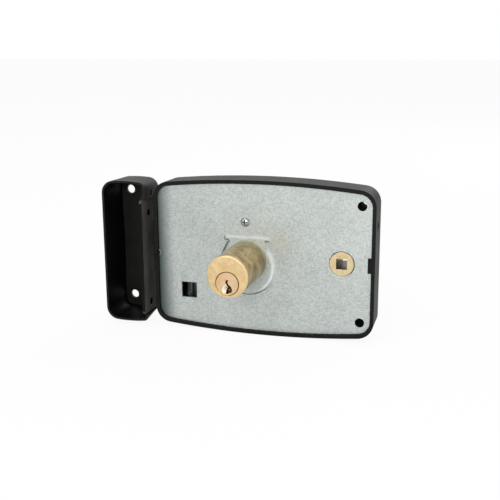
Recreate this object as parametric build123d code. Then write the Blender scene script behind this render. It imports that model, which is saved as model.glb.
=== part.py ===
"""Single-point rim lock for a door, with the keeper that stands on the door frame.

Millimetres, +Z up. The origin is where the axis of the key cylinder meets the face of the door.
The rim of the case and the pad of the plate lie on that face, at Y = 0.
-Y points out of the room, along the key cylinder. +Y points into the room, through the case.
-X is the edge of the door, where the bolts come out and the keeper stands.
"""
import os
from math import cos, pi, radians, sin, sqrt

from build123d import *

# Case: a cast cover with bulged long sides, open towards the door
BACKSET = 60.0
CASE_WIDTH = 138.0
CASE_HEIGHT = 96.0
CASE_DEPTH = 23.5
CASE_BULGE = 4.1
CASE_CORNER = 10.3
CASE_DRAFT = 0.4
CASE_CENTRE_Z = 1.3
RIM = 2.3
WALL = 3.0
FRONT = 2.0
FRONT_FILLET = 3.4

# Back plate: galvanised sheet set back in the rim, with a pad that rises to the face of the door
PLATE = 1.5
PLATE_IN = 1.5
PLATE_GAP = 0.1
PAD_RADIUS = 18.0
PAD_TOP = 14.9
PAD_WAIST_HALF = 12.0
PAD_EAR_HALF = 14.4
PAD_EAR_TALL = 3.0
PAD_NECK_Z = 5.5
PAD_CORNER = 0.8
PAD_SLOPE = 1.0
PAD_WALL = 1.4
WINDOW = 10.0
WINDOW_X = -38.0
WINDOW_Z = -21.8
NOTCH_DEEP = 2.2
NOTCH_TALL = 9.4
TONGUE_TALL = 3.4
RIVET_HEAD = 1.9
RIVET_RISE = 1.8
RIVET_SHANK = 1.2
RIVET_LONG = 4.5

# Screws through the case into the door
SCREW_IN = 8.5
SCREW_CLEAR = 12.7
SCREW_HOLE = 2.75
TUBE = 4.6
SCREW_SINK = 5.0

# Screw that holds the plate to the case
PLATE_SCREW_X = -1.2
PLATE_SCREW_Z = 23.4
PLATE_SCREW_HEAD = 2.8
PLATE_SCREW_RISE = 1.2
PLATE_SCREW_SHANK = 1.6
PLATE_SCREW_LONG = 10.0
CROSS_LONG = 0.6
CROSS_WIDE = 0.14
CROSS_DEEP = 0.7
SCREW_BOSS = 3.6

# Drilled hole in the side of the case
SIDE_HOLE = 2.2
SIDE_HOLE_Y = 8.5
SIDE_HOLE_Z = 24.1

# Cutters run this far past a face, and blind holes stop this far short of the front
PAST = 1.0
BLIND = 1.0

# Key cylinder
CYLINDER_RADIUS = 12.4
CYLINDER_REACH = 38.5
CYLINDER_EDGE = 0.7
PLUG_DROP = 3.95
PLUG_RADIUS = 6.75
PLUG_PROUD = 0.2
PLUG_GAP = 0.08
BORE_EDGE = 0.3
PLUG_BACK = 2.6
KEYWAY_TALL = 8.4
KEYWAY_WIDE = 1.3
KEYWAY_JOG = 1.0
KEYWAY_LINE = ((0.15, 0.0), (-0.4, 0.17), (0.9, 0.44), (0.85, 0.56), (-0.2, 0.74), (-0.2, 1.0))
KEYWAY_DEEP = 30.0
KEYWAY_UP = 0.6
FUNNEL_RADIUS = 3.0
FUNNEL_DEEP = 1.8
FUNNEL_UP = -0.1
PIN_COUNT = 5
PIN_PITCH = 4.0
PIN_FIRST = 5.5
PIN_RADIUS = 1.4
PIN_GAP = 0.05
KEY_PIN_LONG = 3.6
DRIVER_LONG = 3.2
CAP_LONG = 1.1
CAP_SUNK = 0.1
CLAMP = 2.5
CLAMP_GAP = 0.6
CLAMP_SCREW_X = 8.2
CLAMP_SCREW_Z = 4.5
CLAMP_SCREW_RADIUS = 1.7
CLAMP_SCREW_HEAD = 3.2
CLAMP_SCREW_HEAD_TALL = 2.0
CLAMP_SCREW_LONG = 12.0
CLAMP_SCREW_SLOT = 0.8
CLIP = 1.0
CLIP_RADIUS = 7.4

# Tailpiece, crank and inside knob
TAIL_WIDE = 5.0
TAIL_THICK = 2.0
TAIL_START = -6.5
TAIL_IN = 5.0
TAIL_GAP = 0.1
CRANK_OFF = 2.9
CRANK_THICK = 3.0
CRANK_THROW = 10.0
CRANK_PIN = 2.5
CRANK_PIN_WALL = 1.2
CRANK_EYE = 7.0
CRANK_HUB = 4.6
CRANK_JOURNAL = 4.0
KNOB_CLEAR = 0.4
KNOB_BASE = 13.0
KNOB_BASE_TALL = 4.0
KNOB_BASE_ROUND = 1.2
KNOB_GRIP_ROUND = 1.5
KNOB_GRIP_LONG = 25.0
KNOB_GRIP_WIDE = 8.0
KNOB_GRIP_TALL = 12.0
KNOB_PIN = 1.0
KEY_TURN = 90.0

# Fits and gaps
RUN = 0.08
SLIDE = 0.2
SIT = 0.05

# Bolts: both lie against the front of the case
BOLT_SEAT = 0.3
BOLT_THICK = 7.8
BOLT_ROUND = 0.8
BOLT_BACK = 0.3
BOLT_LONG = 23.0
DEADBOLT_TOP = 0.3
DEADBOLT_TALL = 16.0
DEADBOLT_TAIL = 3.0
DEADBOLT_TAIL_TOP = -9.2
DEADBOLT_TAIL_TALL = 11.3
DEADBOLT_TAIL_REACH = 9.0
CRANK_PLAY = 0.45
LATCH_TRAVEL = 11.0
LATCH_BOTTOM = 2.3
LATCH_TALL = 15.0
LATCH_LONG = 30.0
LATCH_NOSE = 1.5
LATCH_BEVEL = 9.5
SLIDE_THICK = 2.0
SLIDE_Z = 15.4
SLIDE_TALL = 7.4
SLIDE_LAP = 8.0
STUD = 2.2
STUD_HEAD = 3.6
STUD_HEAD_TALL = 1.2
DEADBOLT_STUD_X = -20.0
DEADBOLT_STUD_Z = -15.0
LATCH_STUD_IN = 33.0

# Follower that the handle's spindle turns
FOLLOWER_IN = 20.0
FOLLOWER_RADIUS = 7.5
FOLLOWER_SQUARE = 6.5
FOLLOWER_EDGE = 0.35
FOLLOWER_BODY = 9.4
FOLLOWER_SWING = 36.0
ARM_THICK = 3.0
ARM_WIDE = 3.8
ARM_TIP = 3.0
ARM_PLAY = 0.4
FORK_WALL = 4.5
FORK_DEEP = 3.6
FORK_ROOF = 2.0
BEARING = 3.0
BEARING_WALL = 2.4

# Latch spring and the pin that it runs on
SPRING_Z = 9.8
SPRING_IN = 4.3
SPRING_RADIUS = 2.4
SPRING_WIRE = 0.35
SPRING_TURNS = 9
SPRING_SEAT = 3.0
SPRING_CLEAR = 0.3
SPRING_PIN = 1.2
SPRING_PIN_IN = 2.0
POST_WALL = 1.0
POST_X = -16.0
POST_THICK = 4.0

# Detent spring under the deadbolt
DETENT_X = -2.0
DETENT_NOTCH = 1.2
DETENT_STRIP = 0.5
DETENT_DROP = 2.8
DETENT_BITE = 2.4
DETENT_TIP = 2.0
DETENT_LEAD = 4.0
DETENT_FOOT_X = 22.0
DETENT_BOSS = 3.0
DETENT_RIVET = 1.2

# Bracket over the bolts, seen through the window
BRACKET_X = -41.3
BRACKET_EDGE = 1.65
BRACKET_WIDE = 8.6
BRACKET_SHEET = 1.2
BRACKET_RIB = 5.0
BRACKET_TOP = 30.0
BRACKET_BOTTOM = -30.8
BRACKET_SCREW_IN = 3.4
BRACKET_SCREW = 1.2
BRACKET_SCREW_HEAD = 1.55
POST_RADIUS = 3.3

# Keeper on the door frame
KEEPER_GAP = 5.9
KEEPER_WIDTH = 24.5
KEEPER_LIP = 3.8
KEEPER_SHORT = 6.0
KEEPER_BACK = -4.5
KEEPER_WALL = 1.3
KEEPER_LEDGE = 1.6
KEEPER_LEDGE_IN = 6.7
KEEPER_BULGE = 1.0
KEEPER_CORNER = 8.0
KEEPER_LIP_CORNER = 3.0
KEEPER_DRAFT = 0.9
KEEPER_HOLE = 2.75
KEEPER_HOLE_IN = 8.0
KEEPER_RECESS = 0.7
KEEPER_RECESS_TALL = 34.0
KEEPER_DIMPLE = 0.9
KEEPER_SLOT_Y = 7.7
KEEPER_SLOT_IN = 8.6
KEEPER_SLOT_LONG = 4.2
KEEPER_SLOT_WIDE = 2.4
KEEPER_SLOT_LEAN = 30.0
MOUTH_TALL = 35.0
MOUTH_CLEAR = 0.5
MOUTH_FRONT_CLEAR = 0.3
STRIKE = 1.9
STRIKE_GAP = 0.1
STRIKE_TOP_IN = 11.7
STRIKE_BOTTOM_IN = 4.5
STRIKE_SHORT = 1.6
STRIKE_CORNER = 3.0
STRIKE_HOLE = 2.0
STRIKE_HOLE_Y = 6.0
STRIKE_HOLE_TOP_IN = 9.4
STRIKE_HOLE_BOTTOM_IN = 6.4
STRIKE_RIVET = 1.3
STRIKE_RIVET_HEAD = 2.4
STRIKE_RIVET_HEAD_TALL = 0.8
STRIKE_RIVET_END = 0.6
STRIKE_RIVET_UP = 3.1
STRIKE_RIVET_IN = 4.2

# Places worked out from the sizes above
CASE_X = CASE_WIDTH / 2 - BACKSET
CASE_LEFT = -BACKSET
CASE_RIGHT = CASE_WIDTH - BACKSET
INNER_FRONT = CASE_DEPTH - FRONT
BLIND_END = INNER_FRONT - BLIND
SCREW_X = CASE_RIGHT - SCREW_IN
SCREW_TOP = CASE_CENTRE_Z + CASE_HEIGHT / 2 - SCREW_CLEAR
SCREW_BOTTOM = CASE_CENTRE_Z - CASE_HEIGHT / 2 + SCREW_CLEAR
PLATE_BACK = PLATE_IN + PLATE
FACE_Y = -CYLINDER_REACH
PLUG_Z = -PLUG_DROP
BOLT_END = INNER_FRONT - BOLT_SEAT
BOLT_Y = BOLT_END - BOLT_THICK
BOLT_FACE = CASE_LEFT + BOLT_BACK
CRANK_Y = BOLT_Y - CRANK_OFF - CRANK_THICK
TAIL_END = CRANK_Y + TAIL_IN
SPRING_Y = BOLT_Y + SPRING_IN
CRANK_START_X = CRANK_THROW * sin(radians(KEY_TURN / 2))
CRANK_START_Z = PLUG_Z - CRANK_THROW * cos(radians(KEY_TURN / 2))
BOLT_THROW = 2 * CRANK_START_X
LATCH_FACE = BOLT_FACE - LATCH_TRAVEL
LATCH_REAR = LATCH_FACE + LATCH_LONG
FOLLOWER_X = CASE_RIGHT - FOLLOWER_IN
LATCH_STUD_X = FOLLOWER_X - LATCH_STUD_IN
ARM_REACH = LATCH_TRAVEL / 2 / sin(radians(FOLLOWER_SWING / 2))
ARM_TIP_X = FOLLOWER_X - LATCH_TRAVEL / 2
ARM_TIP_Z = CASE_CENTRE_Z + ARM_REACH * cos(radians(FOLLOWER_SWING / 2))
ARM_RISE = CASE_CENTRE_Z + ARM_REACH - ARM_TIP_Z
KEEPER_HEIGHT = CASE_HEIGHT - KEEPER_SHORT
KEEPER_TOP = CASE_CENTRE_Z + KEEPER_HEIGHT / 2
KEEPER_BOTTOM = CASE_CENTRE_Z - KEEPER_HEIGHT / 2
KEEPER_RIGHT = CASE_LEFT - KEEPER_GAP - STRIKE
KEEPER_EDGE = KEEPER_RIGHT + KEEPER_LIP
KEEPER_X = KEEPER_RIGHT - KEEPER_WIDTH / 2
KEEPER_HOLE_X = KEEPER_RIGHT - KEEPER_WIDTH + KEEPER_HOLE_IN
STRIKE_TOP = KEEPER_TOP - STRIKE_TOP_IN
STRIKE_BOTTOM = KEEPER_BOTTOM + STRIKE_BOTTOM_IN
STRIKE_END = CASE_DEPTH - STRIKE_SHORT
STRIKE_HOLE_TOP = STRIKE_TOP - STRIKE_HOLE_TOP_IN
STRIKE_HOLE_BOTTOM = STRIKE_BOTTOM + STRIKE_HOLE_BOTTOM_IN
STRIKE_RIVET_Y = BOLT_Y + STRIKE_RIVET_UP


def disc(radius, y0, y1, x=0.0, z=0.0):
    """A round bar along Y."""
    return Pos(x, (y0 + y1) / 2, z) * Rot(90, 0, 0) * Cylinder(radius, abs(y1 - y0))


def bar_x(radius, x0, x1, y, z):
    """A round bar along X."""
    return Pos((x0 + x1) / 2, y, z) * Rot(0, 90, 0) * Cylinder(radius, abs(x1 - x0))


def block(x0, x1, y0, y1, z0, z1):
    """A block between six faces."""
    box = Box(abs(x1 - x0), abs(y1 - y0), abs(z1 - z0))
    return Pos((x0 + x1) / 2, (y0 + y1) / 2, (z0 + z1) / 2) * box


def bevel(radius, edge, y, x, z):
    """A ring to cut round the mouth of a hole, in a face that looks along -Y."""
    return Pos(x, y + edge / 2, z) * Rot(-90, 0, 0) * Cone(radius + edge, radius, edge)


def upright(y):
    """The plane of constant Y, with its own x along X and its own y along Z."""
    return Plane(origin=(0, y, 0), x_dir=(1, 0, 0), z_dir=(0, -1, 0))


def prism(sketch, y0, y1):
    """A flat shape drawn in X and Z, given its thickness along Y."""
    return extrude(upright(y1) * sketch, amount=y1 - y0)


def barrel(width, height, bulge, corner, x, z, right_corner=None):
    """A rectangle with bulged top and bottom and round corners, the right ones with a radius of their own."""
    half, top = width / 2, height / 2
    shoulder = top - bulge
    lines = [
        ThreePointArc((-half, shoulder), (0, top), (half, shoulder)),
        Line((half, shoulder), (half, -shoulder)),
        ThreePointArc((half, -shoulder), (0, -top), (-half, -shoulder)),
        Line((-half, -shoulder), (-half, shoulder)),
    ]
    face = make_face(lines)
    if right_corner is None:
        return Pos(x, z) * fillet(face.vertices(), corner)
    face = fillet(face.vertices().sort_by(Axis.X)[:2], corner)
    return Pos(x, z) * fillet(face.vertices().sort_by(Axis.X)[-2:], right_corner)


def tapered(outline, inset, y0, y1):
    """A ruled loft from outline(0) at y0 to outline(inset) at y1."""
    return loft([upright(y0) * outline(0), upright(y1) * outline(inset)], ruled=True)


def case_outline(inset):
    """The outline of the case, drawn in by a distance."""
    return barrel(CASE_WIDTH - 2 * inset, CASE_HEIGHT - 2 * inset, CASE_BULGE, CASE_CORNER - inset,
                  CASE_X, CASE_CENTRE_Z)


def case_cover():
    """Cast cover: shell, screw tubes, bosses, bearings, the bolts' windows and the notch's lug."""
    shell = tapered(case_outline, CASE_DRAFT, 0, CASE_DEPTH)
    front_edges = shell.faces().sort_by(Axis.Y)[-1].edges()
    shell = fillet(front_edges, FRONT_FILLET)
    shell -= tapered(lambda inset: case_outline(WALL + inset), CASE_DRAFT, 0, INNER_FRONT)
    shell -= prism(case_outline(RIM), -PAST, PLATE_BACK)
    for z in (SCREW_TOP, SCREW_BOTTOM):
        shell += disc(TUBE, PLATE_BACK, INNER_FRONT + SIT, SCREW_X, z)
    shell += disc(SCREW_BOSS, PLATE_BACK, INNER_FRONT + SIT, PLATE_SCREW_X, PLATE_SCREW_Z)
    for z in bracket_screw_places():
        shell += disc(POST_RADIUS, BOLT_Y - SLIDE, INNER_FRONT + SIT, BRACKET_X, z)
    shell += disc(FOLLOWER_RADIUS + BEARING_WALL, INNER_FRONT - BEARING, INNER_FRONT + SIT,
                  FOLLOWER_X, CASE_CENTRE_Z)
    shell += disc(CRANK_JOURNAL + BEARING_WALL, INNER_FRONT - BEARING, INNER_FRONT + SIT, 0, PLUG_Z)
    post = SPRING_RADIUS + POST_WALL
    shell += block(POST_X, POST_X + POST_THICK, BOLT_Y + SLIDE_THICK + SLIDE, INNER_FRONT + SIT,
                   SPRING_Z - post, SPRING_Z + post)
    shell += disc(DETENT_BOSS, BOLT_Y + DEADBOLT_TAIL, INNER_FRONT + SIT, DETENT_FOOT_X, detent_z())
    shell += notch_lug()
    return shell - case_cuts()


def notch_lug():
    """The lug of the case that stands in the notch of the plate."""
    inner = CASE_RIGHT - RIM
    half = NOTCH_TALL / 2 - PLATE_GAP
    return block(inner - NOTCH_DEEP + PLATE_GAP, inner + RIM / 2, PLATE_IN + PLATE_GAP, PLATE_BACK + WALL,
                 CASE_CENTRE_Z - half, CASE_CENTRE_Z + half)


def case_cuts():
    """Everything that is cut through the cover."""
    cuts = []
    sink_deep = SCREW_SINK - SCREW_HOLE
    for z in (SCREW_TOP, SCREW_BOTTOM):
        cuts.append(disc(SCREW_HOLE, -PAST, CASE_DEPTH + PAST, SCREW_X, z))
        sink = Cone(SCREW_HOLE, SCREW_SINK, sink_deep)
        cuts.append(Pos(SCREW_X, CASE_DEPTH - sink_deep / 2, z) * Rot(-90, 0, 0) * sink)
    cuts.append(disc(PLATE_SCREW_SHANK + SIT, 0, PLATE_IN + PLATE_SCREW_LONG + PAST,
                     PLATE_SCREW_X, PLATE_SCREW_Z))
    for z in bracket_screw_places():
        cuts.append(disc(BRACKET_SCREW + SIT, BOLT_Y - PAST, BLIND_END, BRACKET_X, z))
    cuts.append(disc(FOLLOWER_RADIUS + RUN, 0, CASE_DEPTH + PAST, FOLLOWER_X, CASE_CENTRE_Z))
    cuts.append(disc(CRANK_JOURNAL + RUN, 0, CASE_DEPTH + PAST, 0, PLUG_Z))
    for bottom, tall in ((DEADBOLT_TOP - DEADBOLT_TALL, DEADBOLT_TALL), (LATCH_BOTTOM, LATCH_TALL)):
        cuts.append(block(CASE_LEFT - PAST, CASE_LEFT + 2 * WALL, BOLT_Y - SLIDE, BOLT_END + SLIDE,
                          bottom - SLIDE, bottom + tall + SLIDE))
    cuts.append(bar_x(SPRING_PIN + SIT, POST_X - PAST, POST_X + POST_THICK + PAST, SPRING_Y, SPRING_Z))
    cuts.append(disc(DETENT_RIVET + SIT, BOLT_Y, BLIND_END, DETENT_FOOT_X, detent_z()))
    for x, z in ((DEADBOLT_STUD_X, DEADBOLT_STUD_Z), (LATCH_STUD_X, SLIDE_Z)):
        cuts.append(disc(STUD + SIT, INNER_FRONT - PAST, INNER_FRONT + FRONT / 2, x, z))
    cuts.append(bar_x(SIDE_HOLE, CASE_RIGHT - 2 * WALL, CASE_RIGHT + PAST, SIDE_HOLE_Y, SIDE_HOLE_Z))
    tongue = TONGUE_TALL / 2 + PLATE_GAP
    cuts.append(block(CASE_LEFT - PAST, CASE_LEFT + WALL, -PAST, PLATE,
                      CASE_CENTRE_Z - tongue, CASE_CENTRE_Z + tongue))
    cuts.append(disc(RIVET_SHANK + SIT, 0, RIVET_LONG + BLIND, rivet_x(), CASE_CENTRE_Z))
    return cuts


def rivet_x():
    """Where the edge rivet stands: in the middle of the rim."""
    return CASE_LEFT + WALL / 2


def bracket_screw_places():
    """Heights of the two screws of the bracket."""
    return (BRACKET_TOP - BRACKET_SCREW_IN, BRACKET_BOTTOM + BRACKET_SCREW_IN)


def detent_z():
    """Height of the detent spring's straight run."""
    return DEADBOLT_TAIL_TOP - DEADBOLT_TAIL_TALL - DETENT_DROP


def pad_outline(inset, ears=True):
    """The outline of the raised pad, drawn in by a distance: a round foot, a waist and two ears."""
    radius = PAD_RADIUS - inset
    top, waist, ear = PAD_TOP - inset, PAD_WAIST_HALF - inset, PAD_EAR_HALF - inset
    neck = (sqrt(radius ** 2 - (PAD_NECK_Z - PLUG_Z) ** 2), PAD_NECK_Z)
    under = PAD_TOP - PAD_EAR_TALL + inset
    right = [(ear, top), (ear, under), (waist, under), neck] if ears else [(waist, top), neck]
    left = [(-x, z) for x, z in reversed(right)]
    round_part = ThreePointArc(right[-1], (0, PLUG_Z - radius), left[0])
    face = make_face(Polyline(*left, *right).edges() + round_part.edges())
    return fillet(face.vertices().sort_by(Axis.Y)[-2:], PAD_CORNER)


def back_plate():
    """Galvanised plate with the raised pad, the window, the notch, the tongue and all its holes."""
    plate = prism(case_outline(RIM + PLATE_GAP), PLATE_IN, PLATE_BACK)
    root = CASE_LEFT + RIM
    low, high = CASE_CENTRE_Z - TONGUE_TALL / 2, CASE_CENTRE_Z + TONGUE_TALL / 2
    plate += block(root + PLATE_GAP, root + PLATE_GAP + PLATE, 0, PLATE_BACK, low, high)
    plate += block(CASE_LEFT + PLATE_GAP, root + PLATE_GAP + PLATE, 0, PLATE, low, high)
    plate += tapered(pad_outline, PAD_SLOPE, PLATE_IN, 0)
    plate -= tapered(lambda inset: pad_outline(PAD_WALL + inset, ears=False), PAD_WALL, PLATE_BACK, PLATE_IN)
    back, front = -PAST, PLATE_BACK + PAST
    plate -= disc(PLUG_RADIUS + CLIP, back, front, 0, PLUG_Z)
    for x in (-CLAMP_SCREW_X, CLAMP_SCREW_X):
        plate -= disc(CLAMP_SCREW_RADIUS + SIT, back, front, x, CLAMP_SCREW_Z)
    plate -= block(WINDOW_X - WINDOW / 2, WINDOW_X + WINDOW / 2, back, front,
                   WINDOW_Z - WINDOW / 2, WINDOW_Z + WINDOW / 2)
    edge = CASE_RIGHT - RIM
    plate -= block(edge - NOTCH_DEEP, edge + PAST, back, front,
                   CASE_CENTRE_Z - NOTCH_TALL / 2, CASE_CENTRE_Z + NOTCH_TALL / 2)
    for z in (SCREW_TOP, SCREW_BOTTOM):
        plate -= disc(SCREW_HOLE, back, front, SCREW_X, z)
    plate -= disc(PLATE_SCREW_SHANK + SIT, back, front, PLATE_SCREW_X, PLATE_SCREW_Z)
    plate -= disc(FOLLOWER_RADIUS + RUN, back, front, FOLLOWER_X, CASE_CENTRE_Z)
    plate -= bevel(FOLLOWER_RADIUS + RUN, BORE_EDGE, PLATE_IN, FOLLOWER_X, CASE_CENTRE_Z)
    plate -= disc(RIVET_SHANK + SIT, back, front, rivet_x(), CASE_CENTRE_Z)
    return plate


def domed_pin(head, rise, shank, long, seat, x, z):
    """A domed head that stands towards the door on its seat, with a shank into the case."""
    ball = (head * head + rise * rise) / (2 * rise)
    dome = Pos(x, seat + ball - rise, z) * Sphere(ball)
    dome &= disc(head, seat - rise - PAST, seat, x, z)
    return dome + disc(shank, seat - SIT, seat + long, x, z)


def edge_rivet():
    """Round-headed rivet through the plate's tongue into the rim."""
    return domed_pin(RIVET_HEAD, RIVET_RISE, RIVET_SHANK, RIVET_LONG, 0, rivet_x(), CASE_CENTRE_Z)


def plate_screw():
    """Cross-recess screw that holds the plate to its boss."""
    screw = domed_pin(PLATE_SCREW_HEAD, PLATE_SCREW_RISE, PLATE_SCREW_SHANK, PLATE_SCREW_LONG,
                      PLATE_IN, PLATE_SCREW_X, PLATE_SCREW_Z)
    arm, slot = PLATE_SCREW_HEAD * CROSS_LONG, PLATE_SCREW_HEAD * CROSS_WIDE
    bottom = PLATE_IN - PLATE_SCREW_RISE * (1 - CROSS_DEEP)
    for wide, tall in ((arm, slot), (slot, arm)):
        screw -= block(PLATE_SCREW_X - wide, PLATE_SCREW_X + wide, -PAST, bottom,
                       PLATE_SCREW_Z - tall, PLATE_SCREW_Z + tall)
    return screw


def pin_places():
    """Places of the pin chambers along the cylinder."""
    return [FACE_Y + PIN_FIRST + PIN_PITCH * i for i in range(PIN_COUNT)]


def bar_z(radius, z0, z1, y):
    """A round bar along Z through the axis of the cylinder."""
    return Pos(0, y, (z0 + z1) / 2) * Cylinder(radius, z1 - z0)


def shear_line():
    """Height where the key pins meet the driver pins."""
    return PLUG_Z + PLUG_RADIUS


def chamber_top():
    """Height of the top of the pin chambers, where the wall of the cylinder is met."""
    return sqrt(CYLINDER_RADIUS ** 2 - PIN_RADIUS ** 2) - CAP_SUNK


def cylinder_body():
    """Brass body with the bore for the plug, the pin chambers and two tapped holes."""
    body = disc(CYLINDER_RADIUS, FACE_Y, 0)
    body = chamfer(body.faces().sort_by(Axis.Y)[0].edges(), CYLINDER_EDGE)
    body -= disc(PLUG_RADIUS + PLUG_GAP, FACE_Y - PAST, PAST, 0, PLUG_Z)
    body -= bevel(PLUG_RADIUS + PLUG_GAP, BORE_EDGE, FACE_Y, 0, PLUG_Z)
    for y in pin_places():
        body -= bar_z(PIN_RADIUS + PIN_GAP, PLUG_Z, CYLINDER_RADIUS + PAST, y)
    for x in (-CLAMP_SCREW_X, CLAMP_SCREW_X):
        body -= disc(CLAMP_SCREW_RADIUS + SIT, -CLAMP_SCREW_LONG, PAST, x, CLAMP_SCREW_Z)
    return body


def keyway():
    """The crooked slot for the key, as a solid to cut."""
    half = KEYWAY_WIDE / 2
    top = PLUG_Z + KEYWAY_TALL - PLUG_RADIUS + KEYWAY_UP
    middle = [(KEYWAY_JOG * across, top - KEYWAY_TALL * down) for across, down in KEYWAY_LINE]
    right_side = [(x + half, z) for x, z in middle]
    left_side = [(x - half, z) for x, z in reversed(middle)]
    slot = make_face(Polyline(*right_side, *left_side, close=True))
    return prism(slot, FACE_Y - PAST, FACE_Y + KEYWAY_DEEP)


def plug():
    """Brass plug with the keyway, its funnel, the pin chambers and the slot for the tailpiece."""
    plug_part = disc(PLUG_RADIUS, FACE_Y - PLUG_PROUD, PLUG_BACK, 0, PLUG_Z)
    plug_part = chamfer(plug_part.faces().sort_by(Axis.Y)[0].edges(), PLUG_PROUD)
    plug_part -= keyway()
    funnel = Cone(FUNNEL_RADIUS, FUNNEL_RADIUS / 3, FUNNEL_DEEP)
    funnel_z = PLUG_Z - PLUG_RADIUS / 2 + FUNNEL_UP
    plug_part -= Pos(0, FACE_Y - PLUG_PROUD + FUNNEL_DEEP / 2, funnel_z) * Rot(-90, 0, 0) * funnel
    for y in pin_places():
        plug_part -= bar_z(PIN_RADIUS + PIN_GAP, shear_line() - KEY_PIN_LONG - PAST, shear_line() + PAST, y)
    plug_part -= tail_shape(TAIL_GAP)
    groove = disc(CLIP_RADIUS, SIT, SIT + CLIP, 0, PLUG_Z)
    groove -= disc(PLUG_RADIUS - CLIP, SIT, SIT + CLIP, 0, PLUG_Z)
    return plug_part - groove


def plug_clip():
    """Spring clip behind the body, which keeps the plug from being drawn out."""
    clip = disc(CLIP_RADIUS, 2 * SIT, CLIP, 0, PLUG_Z)
    clip -= disc(PLUG_RADIUS - CLIP + SIT, 0, PLUG_BACK, 0, PLUG_Z)
    return clip - block(-CLIP, CLIP, 0, PLUG_BACK, PLUG_Z - 2 * CLIP_RADIUS, PLUG_Z)


def tail_shape(grow=0.0):
    """The flat tailpiece, grown by a gap where it is used as a cut."""
    return block(-TAIL_THICK / 2 - grow, TAIL_THICK / 2 + grow, TAIL_START - grow, TAIL_END + grow,
                 PLUG_Z - TAIL_WIDE / 2 - grow, PLUG_Z + TAIL_WIDE / 2 + grow)


def pin_row(z0, z1, radius):
    """A row of round pins, one in each chamber."""
    return Compound(children=[bar_z(radius, z0, z1, y) for y in pin_places()])


def key_pins():
    """Pins that ride in the plug, lifted as by the right key."""
    return pin_row(shear_line() - KEY_PIN_LONG, shear_line() - SIT, PIN_RADIUS)


def driver_pins():
    """Pins above the plug."""
    return pin_row(shear_line() + PLUG_GAP + SIT, shear_line() + DRIVER_LONG, PIN_RADIUS)


def pin_springs():
    """Springs over the driver pins, as sleeves."""
    sleeves = []
    for y in pin_places():
        low, high = shear_line() + DRIVER_LONG, chamber_top() - CAP_LONG
        sleeves.append(bar_z(PIN_RADIUS - SIT, low, high, y) - bar_z(PIN_RADIUS / 2, low, high, y))
    return Compound(children=sleeves)


def chamber_caps():
    """Caps that close the chambers."""
    return pin_row(chamber_top() - CAP_LONG, chamber_top(), PIN_RADIUS)


def cylinder_clamp():
    """Keystone plate in the pocket of the pad, which the cylinder's screws pull on."""
    front = PLATE_IN + CLAMP
    clamp = prism(pad_outline(2 * PAD_WALL + CLAMP_GAP, ears=False), PLATE_IN, front)
    clamp -= disc(CLIP_RADIUS + CLIP / 2, 0, front + PAST, 0, PLUG_Z)
    for x in (-CLAMP_SCREW_X, CLAMP_SCREW_X):
        clamp -= disc(CLAMP_SCREW_RADIUS + SIT, 0, front + PAST, x, CLAMP_SCREW_Z)
    return clamp


def clamp_screws():
    """Two screws from inside the case into the body of the cylinder."""
    screws = []
    half_slot = CLAMP_SCREW_SLOT / 2
    seat = PLATE_IN + CLAMP
    top = seat + CLAMP_SCREW_HEAD_TALL
    for x in (-CLAMP_SCREW_X, CLAMP_SCREW_X):
        head = disc(CLAMP_SCREW_HEAD, seat, top, x, CLAMP_SCREW_Z)
        slot = block(x - CLAMP_SCREW_HEAD, x + CLAMP_SCREW_HEAD, top - CLAMP_SCREW_HEAD_TALL / 2, top + PAST,
                     CLAMP_SCREW_Z - half_slot, CLAMP_SCREW_Z + half_slot)
        shank = disc(CLAMP_SCREW_RADIUS, BLIND - CLAMP_SCREW_LONG, seat, x, CLAMP_SCREW_Z)
        screws.append(head - slot + shank)
    return Compound(children=screws)


def tailpiece():
    """Flat bar from the plug to the crank."""
    return tail_shape()


def crank():
    """Arm with the pin that drives the deadbolt, on the shaft of the inside knob."""
    eye = Pos(0, PLUG_Z) * Circle(CRANK_EYE)
    end = Pos(CRANK_START_X, CRANK_START_Z) * Circle(CRANK_PIN + CRANK_PIN_WALL)
    arm = prism(make_hull(eye.edges() + end.edges()), CRANK_Y, CRANK_Y + CRANK_THICK)
    arm += disc(CRANK_PIN, CRANK_Y, BOLT_Y + DEADBOLT_TAIL + SLIDE, CRANK_START_X, CRANK_START_Z)
    arm += disc(CRANK_HUB, CRANK_Y, INNER_FRONT - BEARING - SLIDE, 0, PLUG_Z)
    arm += disc(CRANK_JOURNAL, CRANK_Y, knob_y() + KNOB_BASE_TALL, 0, PLUG_Z)
    arm -= tail_shape(TAIL_GAP)
    return arm - knob_pin_bar(SIT)


def knob_y():
    """Where the knob starts, just off the front of the case."""
    return CASE_DEPTH + KNOB_CLEAR


def knob_pin_bar(grow):
    """The cross pin through the knob and its shaft, grown by a gap where it is used as a cut."""
    end = KNOB_BASE - KNOB_PIN + grow
    return bar_x(KNOB_PIN + grow, -end, end, knob_y() + KNOB_BASE_TALL / 2, PLUG_Z)


def turn_knob():
    """Inside knob: a round base and an oval grip."""
    top = knob_y() + KNOB_BASE_TALL
    base = disc(KNOB_BASE, knob_y(), top, 0, PLUG_Z)
    base = fillet(base.faces().sort_by(Axis.Y)[-1].edges(), KNOB_BASE_ROUND)
    grip_shape = Pos(0, PLUG_Z) * SlotOverall(KNOB_GRIP_LONG, KNOB_GRIP_WIDE, rotation=90)
    grip = prism(grip_shape, top - KNOB_BASE_ROUND, top + KNOB_GRIP_TALL)
    grip = fillet(grip.faces().sort_by(Axis.Y)[-1].edges(), KNOB_GRIP_ROUND)
    knob = base + grip
    knob -= disc(CRANK_JOURNAL + SIT, knob_y() - PAST, top, 0, PLUG_Z)
    return knob - knob_pin_bar(SIT)


def knob_pin():
    """Cross pin that holds the knob on its shaft."""
    return knob_pin_bar(0)


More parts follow.
